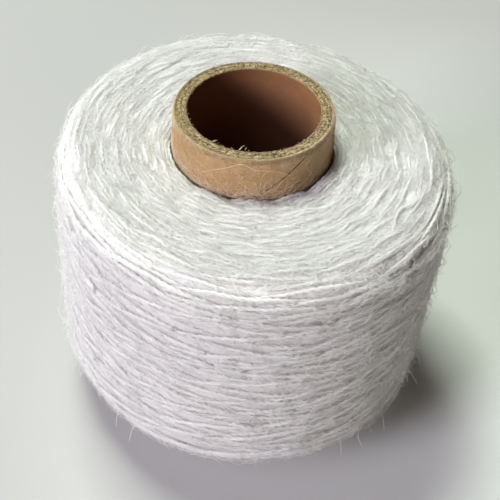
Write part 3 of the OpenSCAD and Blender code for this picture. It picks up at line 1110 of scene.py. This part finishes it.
def wrap_ring(name):
    """The kraft paper: columns follow the seam, so that its slit is cut into the mesh."""
    settings = bpy.context.scene.spool_tube
    rng = draws(31)
    near = np.array([0.03, 0.07, 0.11, 0.16, 0.24, 0.4, 0.7, 1.1]) * MM / TUBE_R
    columns = np.concatenate([[0], near, np.linspace(near[-1], TAU - near[-1], 330)[1:-1],
                              TAU - near[::-1]])
    n = len(columns)
    bend = np.linspace(math.pi / 2, 0, 9)
    lip = np.stack([settings.rim_roll * (1 - np.cos(bend)),
                    settings.rim_roll_height * (1 - np.sin(bend))], -1)
    stub = np.linspace(settings.rim_roll_height, STUB, 26)[1:]
    z_low = np.concatenate([lip[:, 1], stub])
    pulled = np.concatenate([lip[:, 0], np.zeros(len(stub))])
    z = np.concatenate([z_low, np.linspace(z_low[-1], TUBE_LENGTH - z_low[-1], 10)[1:-1],
                        TUBE_LENGTH - z_low[::-1]])
    pulled = np.concatenate([pulled, np.zeros(8), pulled[::-1]])
    rows = len(z)
    dents = wrapped_noise(rng, (rows, n), (4, 9)) * 0.022 * MM
    creases = wrapped_noise(rng, (rows, n), (1.2, 2.5)) * 0.006 * MM
    from_seam = np.where(columns > math.pi, columns - TAU, columns) * TUBE_R
    slit = -SLIT_DEPTH * np.exp(-(from_seam / SLIT_WIDTH) ** 2)
    free_edge = EDGE_LIFT * np.exp(-np.abs(from_seam) / EDGE_LIFT_WIDTH) * (from_seam > 0)
    seam = settings.seam_angle + (z - TUBE_LENGTH) / settings.seam_lead * TAU
    angle = seam[:, None] + columns[None, :]
    r = TUBE_R - 0.03 * MM - pulled[:, None] + dents + creases + (slit + free_edge)[None, :]
    r = np.minimum(r, TUBE_R + 0.04 * MM)
    raised = np.zeros((rows, n))
    raised[-1] -= torn(rng, 0.14 * MM, n)
    raised[0] += torn(rng, 0.14 * MM, n)
    outside = around_axis(r, angle, z[:, None] + raised)
    inner_r = np.broadcast_to(BOARD_RADII[2] - pulled[:, None], r.shape)
    inside = around_axis(inner_r, angle, z[:, None] + raised * 0.6)[::-1]
    grid = np.concatenate([outside, inside[[0, 2, 8, 14]], inside[[-15, -9, -3, -1]]])
    u = np.concatenate([from_seam, [0.0]])
    u = np.where(np.arange(n + 1) == n, 0.0, u) / (10 * MM)
    u0, u1 = u[:-1], np.concatenate([u[1:-1], [0.0]])
    total = grid.shape[0]
    across = np.stack([u0, u1, u1, u0], -1)
    height = np.arange(total) / total
    places = np.stack([np.broadcast_to(across, (total, n, 4)),
                       np.broadcast_to(height[:, None, None], (total, n, 4))], -1)
    return ring_solid(name, grid, maps={"Paper": places.reshape(-1, 2)})


# Fibres over the kraft paper, by places as (angle in degrees, height in millimetres)
LONG_HAIR = [(-127, 64.1), (-117.5, 66.2), (-108, 67.5), (-103, 68.3), (-98.8, 69.1), (-94.6, 69.2),
             (-89.4, 68.3), (-83.5, 67.9), (-75.7, 67.6), (-68.6, 67.1), (-61.6, 65.4)]
CURLED_HAIRS = [
    [(-82.6, 63.2), (-80.3, 64.7), (-77.0, 65.2), (-75.0, 63.9), (-77.4, 62.8), (-81.0, 63.0)],
    [(-84.5, 61.9), (-83.4, 63.6), (-83.0, 65.5), (-81.6, 67.0), (-78.0, 67.7)],
    [(-50.5, 67.6), (-49.6, 66.4), (-46.5, 64.8), (-42.0, 63.2), (-38.0, 62.6)],
    [(-135, 65.6), (-128, 64.6), (-120, 65.0), (-112, 64.2), (-106, 62.4)],
]


# Angle in degrees, height and length in millimetres of single fibres that hang off the side
STRAY_HAIRS = [(-23.5, 22.5, 4.2), (-26, 16.5, 3.6), (-30, 20.5, 4.6), (-33, 19.0, 3.0),
               (-41, 13.5, 4.4), (-46, 12.5, 3.2), (-52, 13.0, 3.6), (-57, 12.5, 3.0)]


def smooth_path(points, n):
    """A smooth curve through a few points."""
    points = np.asarray(points, float)
    t = np.arange(len(points))
    fine = np.linspace(0, len(points) - 1, n)
    path = np.stack([np.interp(fine, t, points[:, k]) for k in range(points.shape[1])], -1)
    return np.stack([smoothed(column, n / len(points) * 0.4) for column in path.T], -1)


def tube_fibre(places, radius):
    """One fibre that lies over the kraft paper, lifted here and there."""
    path = smooth_path(places, len(places) * 5)
    angle, z = np.radians(path[:, 0]), path[:, 1] * MM
    over = TUBE_R + (0.06 + 0.05 * np.sin(np.linspace(0, 9, len(path)))) * MM
    return fibres(around_axis(over, angle, z)[None], outward(angle)[None], radius)


class SPOOL_OT_tube(Operator):
    """Build the paper tube: its lined bore, three board plies and kraft wrap, all with torn ends"""
    bl_idname = "spool.tube"
    bl_label = "Paper Tube"

    def execute(self, context):
        settings = context.scene.spool_tube
        finished(liner_ring("bore_liner"), liner_finish(), "liner_paper", "inner_liner")
        radii = [LINER_R, *BOARD_RADII]
        names = ["inner_board", "middle_board", "outer_board"]
        rolls = [0, 0, settings.rim_roll]
        for i, (name, roll) in enumerate(zip(names, rolls)):
            ring = board_ring(name, radii[i], radii[i + 1], roll, 40 + i)
            finished(ring, board_finish(), "grey_board", f"board_ply_{i + 1}")
        finished(wrap_ring("kraft_wrap"), kraft_finish(), "kraft_paper", "outer_wrap")
        return {"FINISHED"}


# Torn flakes: angle in degrees, distance from the bore, length and half width in millimetres, and
# how far they curl and lean inwards in radians
FLAKES = [(-101, 0.15, 1.7, 0.16, 2.6, 0.9), (-96, 0.1, 1.1, 0.12, 2.0, 1.3),
          (-125, 0.15, 1.2, 0.14, 2.2, 0.8), (-160, 0.1, 0.8, 0.10, 1.8, 1.2)]
FLAKES_SUNK = 0.12 * MM
FRAYED_FIBRES = 460
PRESSED_FIBRES = 3400


def flake(seed, angle, from_bore, length, width, curl, lean):
    """A torn flake of paper that curls off the edge of the bore."""
    rng = draws(seed)
    r, z, length = BORE_R + from_bore * MM, TUBE_LENGTH - FLAKES_SUNK, length * MM
    n = 9
    u = np.linspace(0, 1, n)
    a = math.radians(angle) + u * length / r * math.cos(lean)
    inward = (1 - np.cos(u * curl)) * length * 0.5
    up = np.sin(u * curl) * length * 0.35 + rng.normal(0, 0.03, n) * MM
    points = around_axis(r - inward * math.sin(lean), a, z + up)
    upright = np.full((1, n, 3), (0.0, 0.0, 1.0))
    return fibres(points[None], upright, width * MM, sides=6, flat=0.25)


def paper_fibres(rng, count, n, low, high):
    """Fine fibres half pressed into the kraft paper, between two heights."""
    heading = rng.uniform(0, TAU, (count, 1)) + np.cumsum(rng.normal(0, 0.3, (count, n)), axis=1)
    step = rng.gamma(3.0, 0.08 * MM, (count, 1))
    angle = rng.uniform(0, TAU, (count, 1)) + np.cumsum(np.cos(heading), axis=1) * step / TUBE_R
    z = rng.uniform(low, high, (count, 1)) + np.cumsum(np.sin(heading), axis=1) * step
    z = np.clip(z, low, high)
    u = np.linspace(0, 1, n)
    r = TUBE_R - 0.02 * MM + rng.uniform(0.01, 0.06, (count, 1)) * MM * np.sin(u * math.pi)
    return fibres(around_axis(r, angle, z), outward(angle),
                  rng.uniform(0.016, 0.034, count) * MM)


class SPOOL_OT_torn_paper(Operator):
    """Raise the torn flakes and frayed board fibres round the cut ends of the tube"""
    bl_idname = "spool.torn_paper"
    bl_label = "Torn Paper"

    def execute(self, context):
        rng = draws(51)
        strands = [flake(seed, *form) for seed, form in enumerate(FLAKES, 1)]
        count, n = FRAYED_FIBRES, 5
        u = np.linspace(0, 1, n)
        for upper in (True, False):
            edges = np.array([BORE_R + 0.12 * MM, LINER_R, *BOARD_RADII[:2],
                              BOARD_RADII[2] - 0.4 * MM])
            r = rng.choice(edges, (count, 1)) + rng.normal(0, 0.12 * MM, (count, 1))
            run = u * rng.uniform(0.25, 0.9, (count, 1)) * MM
            heading = rng.uniform(0, TAU, (count, 1))
            depth = rng.uniform(0, 0.28, (count, 1)) * MM * np.sin(u * math.pi * 0.8) - 0.14 * MM
            z = TUBE_LENGTH + depth if upper else -depth
            angle = rng.uniform(0, TAU, (count, 1)) + run * np.cos(heading) / r
            radius = np.clip(r + run * np.sin(heading), BORE_R - 0.3 * MM, TUBE_R - 0.55 * MM)
            strands.append(fibres(around_axis(radius, angle, z),
                                  np.full((count, n, 3), (0.0, 0.0, 1.0)),
                                  rng.uniform(0.02, 0.05, count) * MM, sides=6))
        finished(tubes("torn_fibres", strands), board_finish(), "grey_board")
        lying = [[paper_fibres(rng, PRESSED_FIBRES, 6, low, high)]
                 for low, high in ((0.9 * MM, 9.5 * MM), (60.5 * MM, TUBE_LENGTH - 0.9 * MM))]
        kraft = tuple(context.scene.spool_tube.kraft_colour)
        numbered("kraft_fibres", lying, hair_finish("Paper Fibre", scaled(kraft, 1.45)),
                 "kraft_paper")
        return {"FINISHED"}


# Thread

SIDES = 8
CORE_SUNK = 0.42
FACE_SUNK = 0.2
RIDGE_PITCH = 1.25
RIDGE_HEIGHT = 0.34
RIDGE_DRIFT = 0.5
SHOULDER_BULGE = 0.42 * MM
CORE_COLUMNS = 480
CORE_FACE_ROWS = 90
CORE_SIDE_ROWS = 120
CREST_RISE = 0.42
RING_SPACING = {"side": 0.4 * MM, "upper": 0.4 * MM, "lower": 0.6 * MM}
MOST_RINGS = 12000
# Runs by where they lie: name of the pieces, nodes they replace, and look of the thread: its
# material's name, how much painted shade its flanks get and how far light spreads in it
RUNS = {"side": ("side_runs", ["side_turns"], ("Side Thread", 0.12, 0.55 * MM)),
        "upper": ("upper_turns", ["end_turns"], ("Face Thread", 0.06, 0.9 * MM)),
        "lower": ("lower_turns", [], ("Face Thread", 0.06, 0.9 * MM))}


def face_rows(package, rng, angle, face_r, sign):
    """Rows of the buried turns over one face, with the soft ridges of the turns that lie there."""
    n = len(angle)
    drift = wrapped_noise(rng, (len(face_r), n), (9, 13)) * RIDGE_DRIFT
    for r, moved in zip(face_r, drift):
        phase = r / RIDGE_PITCH + angle / TAU + moved
        ridge = RIDGE_HEIGHT * (np.abs(np.sin(math.pi * phase)) - 0.6)
        sunk = FACE_SUNK + 0.3 * math.exp(-(r - face_r[0]) / 1.5) - ridge
        z = package.face_height(angle, np.full(n, r), sign, even=True) - sign * sunk
        yield package.settled(np.full(n, r), angle, z)


def rounded(first, last, up):
    """Rows that carry the buried turns round a shoulder, between two other rows."""
    for t in (0.25, 0.5, 0.75):
        row = first + (last - first) * t
        away = unit(row * [1, 1, 0]) + [0, 0, up]
        yield row + away * SHOULDER_BULGE * 4 * t * (1 - t)


def core_grid(package):
    """The buried turns: a ring that follows the outer surface from a little way inside."""
    rng = draws(91)
    n = CORE_COLUMNS
    angle = np.arange(n) / n * TAU
    inner = package.tube_radius + 0.08
    face_r = np.linspace(inner + 0.5, package.radius - 3.2, CORE_FACE_ROWS)
    rows = list(face_rows(package, rng, angle, face_r, -1))[::-1]
    for z in (package.low + 2.4, package.high - 2.4):
        rows.append(package.settled(np.full(n, inner), angle, np.full(n, z)))
    rows += face_rows(package, rng, angle, face_r, 1)
    side = []
    for z in np.linspace(package.high - 3.4, package.low + 3.4, CORE_SIDE_ROWS):
        r = package.side_radius(angle, np.full(n, z), even=True) - CORE_SUNK
        side.append(package.settled(r, angle, np.full(n, z)))
    rows += [*rounded(rows[-1], side[0], 1), *side, *rounded(side[-1], rows[0], -1)]
    return np.array(rows)[::-1]


class SPOOL_OT_thread(Operator):
    """Wind the thread and build every run of it that shows, over a core of buried turns"""
    bl_idname = "spool.thread"
    bl_label = "Wound Thread"

    def execute(self, context):
        settings = context.scene.spool_thread
        package = Package(settings)
        rng = draws(71)
        laid = {where: [] for where in RUNS}
        for first, last, where in kept_runs(package):
            laid[where].append(yarn_strand(package, settings, first, last, RING_SPACING[where],
                                           SIDES, rng))
        for where, (name, replaced, look) in RUNS.items():
            for i, strands in enumerate(dealt(laid[where], MOST_RINGS)):
                finished(tubes(f"{name}_{i + 1}", strands), thread_finish(*look), "thread",
                         *(replaced if i == 0 else []))
        core = ring_solid("buried_turns", core_grid(package))
        finished(core, core_finish(), "thread", "wound_body")
        fuzz = context.scene.spool_fuzz
        crests = crest_fibres(laid["side"], rng, fuzz.crest_share, fuzz.crest_radius,
                              settings.diameter * settings.firm_share * CREST_RISE)
        finished(tubes("side_crests", [crests]), hair_finish(), "thread")
        return {"FINISHED"}


@functools.cache
def core_finish():
    """White thread deep between the outer turns, with a little painted shade that darkens it
    towards the side.
    """
    colour = tuple(bpy.context.scene.spool_thread.colour)
    material, tree, shader, place = blank_material("Buried Thread")
    x, y, z = add(tree, "ShaderNodeSeparateXYZ", {0: place}).outputs
    level = add(tree, "ShaderNodeCombineXYZ", {0: x, 1: y}).outputs[0]
    from_axis = add(tree, "ShaderNodeVectorMath", {0: level}, operation="LENGTH").outputs["Value"]
    round_axis = maths(tree, "MULTIPLY", maths(tree, "ARCTAN2", y, x), 8.0)
    turns = add(tree, "ShaderNodeCombineXYZ", {0: maths(tree, "MULTIPLY", from_axis, 2200.0),
                                               1: maths(tree, "MULTIPLY", z, 2200.0),
                                               2: round_axis}).outputs[0]
    lined = noise(tree, turns, 1.0, 3.0)
    pale = tinted(tree, ranged(tree, lined, 0.35, 0.65), scaled(colour, 0.94), scaled(colour, 1.03))
    # Painted shade: the buried turns darken by up to 5 % towards the side, where they lie in shadow
    # under the outer turns.
    painted_side_shade = ranged(tree, from_axis, 34.5 * MM, 37 * MM, 0.0, 0.05)
    dressed(shader, {"Base Color": tinted(tree, painted_side_shade, pale, (0.0, 0.0, 0.0)),
                     "Roughness": ranged(tree, lined, 0.3, 0.7, 0.95, 0.85),
                     "Normal": bumped(tree, lined, 0.8, 0.3 * MM)})
    softened(shader, 0.8 * MM)
    return material


# Kinds of loose fibre: points along one, its length, the share that set out in any direction, the
# share that stand out and their height, and the arch of all of them. Lengths are in millimetres.
LONG_SIDE = dict(n=8, length=5.2, across=0.75, standing=0.25, height=2.2, arch=1.3)
SHORT_SIDE = dict(n=4, length=1.7, across=0.9, standing=0.65, height=1.3)
LONG_UPPER = dict(n=8, length=4.2, across=0.45, standing=0.12, height=1.8)
SHORT_UPPER = dict(n=4, length=1.6, across=0.7, standing=0.4, height=0.5)
LONG_LOWER = dict(LONG_UPPER, height=1.5)
SHORT_LOWER = dict(n=4, length=1.2, across=0.8, standing=0.4, height=0.4)
STRAYS = 90
FRINGE_HAIRS = 760


def fluff(name, bundles):
    """Pieces of loose white fibres, one for each bundle."""
    numbered(name, [[bundle] for bundle in bundles], hair_finish(), "thread")


class SPOOL_OT_fuzz(Operator):
    """Raise the loose fibres of the thread on the side, on both faces and over the tube"""
    bl_idname = "spool.fuzz"
    bl_label = "Fuzz"

    def execute(self, context):
        fuzz = context.scene.spool_fuzz
        package = Package(context.scene.spool_thread)
        rng = draws(81)
        thick, fine = fuzz.hair_radius, fuzz.hair_radius * 0.6
        fluff("side_hairs", [side_fibres(package, rng, fuzz.side_hairs // 2, thick, **LONG_SIDE)
                             for _ in range(2)])
        short = [side_fibres(package, rng, fuzz.side_fuzz // 3, fine, **SHORT_SIDE)
                 for _ in range(3)]
        fluff("side_fuzz", [half for bundle in short for half in halved(bundle)])
        places = zip(rng.uniform(0, 360, STRAYS), rng.uniform(13, 57, STRAYS))
        strays = STRAY_HAIRS + [(*place, rng.uniform(1.5, 4)) for place in places]
        finished(tubes("stray_hairs", [stray_fibres(package, rng, strays, 10, 0.055 * MM)]),
                 hair_finish(), "thread")
        long = face_fibres(package, rng, fuzz.face_hairs, thick, **LONG_UPPER, sign=1)
        finished(tubes("upper_hairs", [long]), hair_finish(), "thread")
        short = [face_fibres(package, rng, fuzz.face_fuzz // 2, fine, **SHORT_UPPER, sign=1)
                 for _ in range(2)]
        fluff("upper_fuzz", [half for bundle in short for half in halved(bundle)])
        long = face_fibres(package, rng, fuzz.face_hairs // 2, thick, **LONG_LOWER, sign=-1)
        short = face_fibres(package, rng, fuzz.face_fuzz // 2, fine, **SHORT_LOWER, sign=-1)
        numbered("lower_fuzz", zip(halved(long), halved(short)), hair_finish(), "thread")
        over = [tube_fibre(LONG_HAIR, 0.06 * MM)]
        over += [tube_fibre(places, 0.045 * MM) for places in CURLED_HAIRS]
        count, u = FRINGE_HAIRS, np.linspace(0, 1, 8)
        for rise, z in ((1, package.high - 0.6), (-1, package.low + 0.6)):
            reach = rng.gamma(2.0, 0.85, (count, 1)) * rise
            bend = rng.normal(0, 0.16, (count, 1)) * u + rng.normal(0, 0.12, (count, 1)) * u ** 2
            angle = rng.uniform(0, TAU, (count, 1)) + bend
            height = (z + reach * np.sin(u * rng.uniform(1.0, 2.4, (count, 1)))) * MM
            over_paper = rng.uniform(0.03, 0.3, (count, 1)) * np.sin(0.3 + u * 2.4)
            over.append(fibres(around_axis(TUBE_R + over_paper * MM, angle, height),
                               outward(angle), rng.uniform(0.018, 0.036, count) * MM))
        tan = tuple(context.scene.spool_tube.fibre_colour)
        finished(tubes("tube_hairs", over), hair_finish("Fibre over Paper", tan), "thread")
        return {"FINISHED"}


# Stage

CAMERA_PLACE = (0.0, -0.15110, 0.18519)
CAMERA_RIGHT = (0.99864766, 0.03478664, 0.03863608)
CAMERA_UP = (-0.05189692, 0.71124091, 0.70103001)
CAMERA_AHEAD = (0.00309308, 0.70208707, -0.71208439)
CAMERA_LENS = 71.97


def area_light(name, place, size, power, colour):
    """A soft rectangular light that faces the middle of the spool."""
    lamp = bpy.data.lights.new(name, "AREA")
    lamp.shape = "RECTANGLE"
    lamp.size, lamp.size_y = size
    lamp.energy, lamp.color = power, colour
    holder = bpy.data.objects.new(name, lamp)
    holder.location = place
    aim = Vector((0, 0, 0.035)) - Vector(place)
    holder.rotation_euler = aim.to_track_quat("-Z", "Y").to_euler()
    bpy.context.scene.collection.objects.link(holder)


class SPOOL_OT_stage(Operator):
    """Set up the table top, the lights, the room light and the camera"""
    bl_idname = "spool.stage"
    bl_label = "Stage"

    def execute(self, context):
        settings = context.scene.spool_stage
        scene = context.scene
        reach, n = 1.6, 9
        xs = np.linspace(-reach, reach, n)
        x, y = np.meshgrid(xs, xs, indexing="ij")
        i, j = np.meshgrid(np.arange(n - 1), np.arange(n - 1), indexing="ij")
        faces = np.stack([i * n + j, (i + 1) * n + j, (i + 1) * n + j + 1, i * n + j + 1], -1)
        floor = mesh_object("table_top", np.stack([x, y, np.zeros((n, n))], -1).reshape(-1, 3),
                            faces.reshape(-1, 4))
        floor.data.materials.append(floor_finish())
        area_light("Key light", (-0.74, -0.56, 0.41), (0.34, 0.34), settings.key_power,
                   (0.97, 0.91, 1.0))
        area_light("High key light", (-0.53, -0.42, 0.77), (0.4, 0.4), settings.high_key_power,
                   (0.92, 0.88, 1.0))
        area_light("Overhead light", (-0.21, 0.31, 0.96), (0.34, 0.34), settings.overhead_power,
                   (0.93, 1.0, 0.87))
        area_light("Fill light", (0.47, -0.81, 0.38), (0.4, 0.4), settings.fill_power,
                   (1.0, 0.66, 0.52))
        world = bpy.data.worlds.new("Room")
        world.use_nodes = True
        tree = world.node_tree
        tree.nodes["Background"].inputs["Color"].default_value = (1.0, 0.9, 0.75, 1)
        tree.nodes["Background"].inputs["Strength"].default_value = settings.room_light
        scene.world = world
        camera = bpy.data.cameras.new("Camera")
        camera.lens, camera.sensor_width = CAMERA_LENS, 36
        camera.clip_start, camera.clip_end = 0.01, 10
        holder = bpy.data.objects.new("Camera", camera)
        columns = [CAMERA_RIGHT, CAMERA_UP, [-v for v in CAMERA_AHEAD]]
        holder.matrix_world = (Matrix.Translation(CAMERA_PLACE)
                               @ Matrix(columns).transposed().to_4x4())
        scene.collection.objects.link(holder)
        scene.camera = holder
        scene.view_settings.view_transform = "Standard"
        return {"FINISHED"}


class SPOOL_PT_panel(Panel):
    bl_label = "Thread Spool"
    bl_idname = "SPOOL_PT_panel"
    bl_space_type = "VIEW_3D"
    bl_region_type = "UI"
    bl_category = "Thread Spool"

    def draw(self, context):
        for operator in OPERATORS:
            self.layout.operator(operator.bl_idname)
        for settings in SETTINGS:
            box = self.layout.box()
            group_of = getattr(context.scene, settings)
            for name in group_of.bl_rna.properties.keys():
                if name not in ("rna_type", "name"):
                    box.prop(group_of, name)


SETTINGS = {"spool_tube": TubeSettings, "spool_thread": ThreadSettings,
            "spool_fuzz": FuzzSettings, "spool_stage": StageSettings}
OPERATORS = (SPOOL_OT_tube, SPOOL_OT_torn_paper, SPOOL_OT_thread, SPOOL_OT_fuzz, SPOOL_OT_stage)


def register():
    for cls in (*SETTINGS.values(), *OPERATORS, SPOOL_PT_panel):
        bpy.utils.register_class(cls)
    for name, cls in SETTINGS.items():
        setattr(bpy.types.Scene, name, PointerProperty(type=cls))


def unregister():
    for name in SETTINGS:
        delattr(bpy.types.Scene, name)
    for cls in reversed((*SETTINGS.values(), *OPERATORS, SPOOL_PT_panel)):
        bpy.utils.unregister_class(cls)


def main():
    register()
    bpy.ops.spool.tube()
    bpy.ops.spool.torn_paper()
    bpy.ops.spool.thread()
    bpy.ops.spool.fuzz()
    bpy.ops.spool.stage()


if __name__ == "__main__":
    main()
